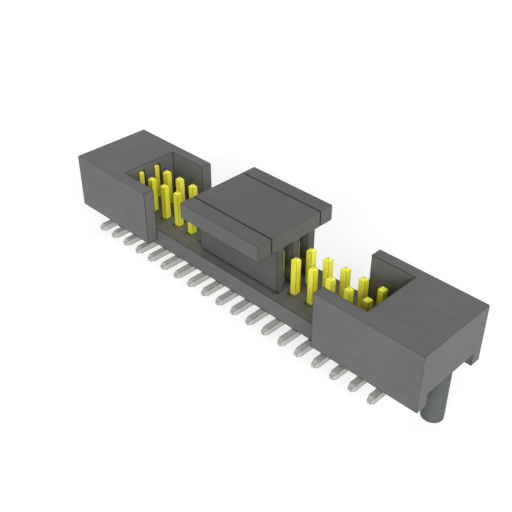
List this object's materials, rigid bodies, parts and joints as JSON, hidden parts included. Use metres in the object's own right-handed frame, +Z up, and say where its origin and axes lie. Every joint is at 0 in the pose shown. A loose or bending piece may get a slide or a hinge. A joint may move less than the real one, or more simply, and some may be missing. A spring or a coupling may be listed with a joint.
{
  "type": "board-to-board header",
  "caption": "Surface-mount board-to-board pin header with two rows of square posts, shrouded ends, alignment pins and a pick-and-place cap.",
  "frame": {"origin": "centre of the solder footprint on the board's surface, midway between the two alignment pins", "axes": "+X along the rows of contacts, +Y across the rows, +Z up from the board along the posts"},
  "size_m": [0.028, 0.0066, 0.0075],
  "materials": {
    "housing_plastic": "moulded liquid-crystal polymer, dark grey, satin",
    "cap_plastic": "moulded plastic, dark grey, smooth on top",
    "pin_plastic": "moulded plastic, dark blue-grey, smooth",
    "contact_metal": "bronze wire, gold-plated posts and matte tin-plated tails"
  },
  "bodies": {
    "root": {"housing": "housing_plastic", "pick_and_place_cap": "cap_plastic", "alignment_pin_left": "pin_plastic", "alignment_pin_right": "pin_plastic", "contact_front_01": "contact_metal", "contact_front_02": "contact_metal", "contact_front_03": "contact_metal", "contact_front_04": "contact_metal", "contact_front_05": "contact_metal", "contact_front_06": "contact_metal", "contact_front_07": "contact_metal", "contact_front_08": "contact_metal", "contact_front_09": "contact_metal", "contact_front_10": "contact_metal", "contact_front_11": "contact_metal", "contact_front_12": "contact_metal", "contact_front_13": "contact_metal", "contact_front_14": "contact_metal", "contact_front_15": "contact_metal", "contact_front_16": "contact_metal", "contact_front_17": "contact_metal", "contact_front_18": "contact_metal", "contact_front_19": "contact_metal", "contact_rear_01": "contact_metal", "contact_rear_02": "contact_metal", "contact_rear_03": "contact_metal", "contact_rear_04": "contact_metal", "contact_rear_05": "contact_metal", "contact_rear_06": "contact_metal", "contact_rear_07": "contact_metal", "contact_rear_08": "contact_metal", "contact_rear_09": "contact_metal", "contact_rear_10": "contact_metal", "contact_rear_11": "contact_metal", "contact_rear_12": "contact_metal", "contact_rear_13": "contact_metal", "contact_rear_14": "contact_metal", "contact_rear_15": "contact_metal", "contact_rear_16": "contact_metal", "contact_rear_17": "contact_metal", "contact_rear_18": "contact_metal", "contact_rear_19": "contact_metal"}
  },
  "joints": []
}
